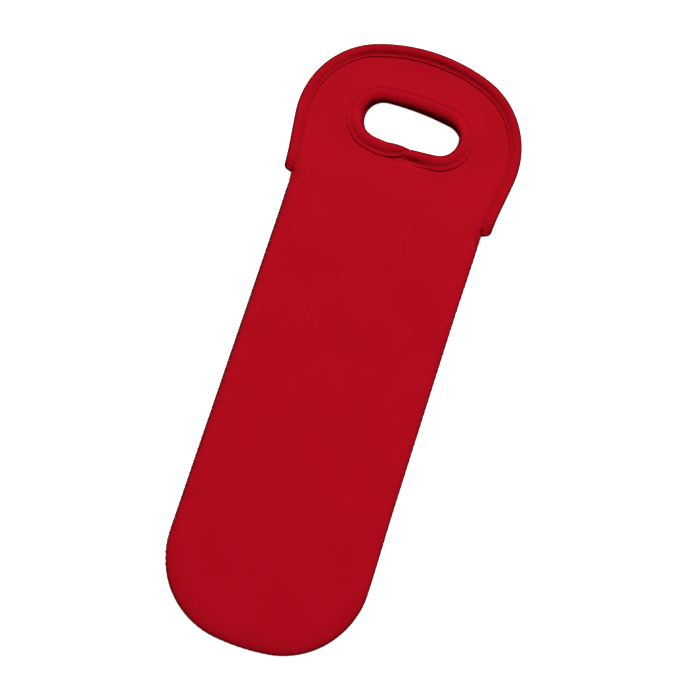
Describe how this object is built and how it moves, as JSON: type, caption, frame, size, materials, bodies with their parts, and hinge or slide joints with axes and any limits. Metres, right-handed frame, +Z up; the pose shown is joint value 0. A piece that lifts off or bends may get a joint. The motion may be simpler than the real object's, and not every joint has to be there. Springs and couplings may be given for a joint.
{
  "type": "bottle carrier",
  "caption": "Soft insulated sleeve for one bottle, lying flat, with two bell-shaped flaps above its mouth that meet as a carrying handle with a hand hole.",
  "frame": {"origin": "under the middle of the carrier's outline, on the surface that it lies on", "axes": "+X across the carrier, +Y from the rounded bottom to the handle, +Z up, out of the front face"},
  "size_m": [0.162, 0.44, 0.0132],
  "materials": {
    "neoprene": "matte",
    "edge_tape": "matte",
    "thread": "satin"
  },
  "bodies": {
    "sleeve": {"front_sleeve_panel": "neoprene", "back_sleeve_panel": "neoprene", "side_seam_thread": "thread"},
    "front_handle": {"front_handle_panel": "neoprene", "front_rim_binding": "edge_tape", "front_rim_thread": "thread", "front_grip_binding": "edge_tape", "front_grip_thread": "thread"},
    "back_handle": {"back_handle_panel": "neoprene", "back_rim_binding": "edge_tape", "back_rim_thread": "thread", "back_grip_binding": "edge_tape", "back_grip_thread": "thread"}
  },
  "joints": [
    {"name": "front_handle_fold", "type": "hinge", "parent": "sleeve", "child": "front_handle", "pos_m": [0, 0.11015, 0.0132], "axis": [1, 0, 0], "range_deg": [0, 90], "stiffness_Nm_per_rad": 0.02},
    {"name": "back_handle_fold", "type": "hinge", "parent": "sleeve", "child": "back_handle", "pos_m": [0, 0.11015, 0], "axis": [-1, 0, 0], "range_deg": [0, 90], "stiffness_Nm_per_rad": 0.02}
  ]
}
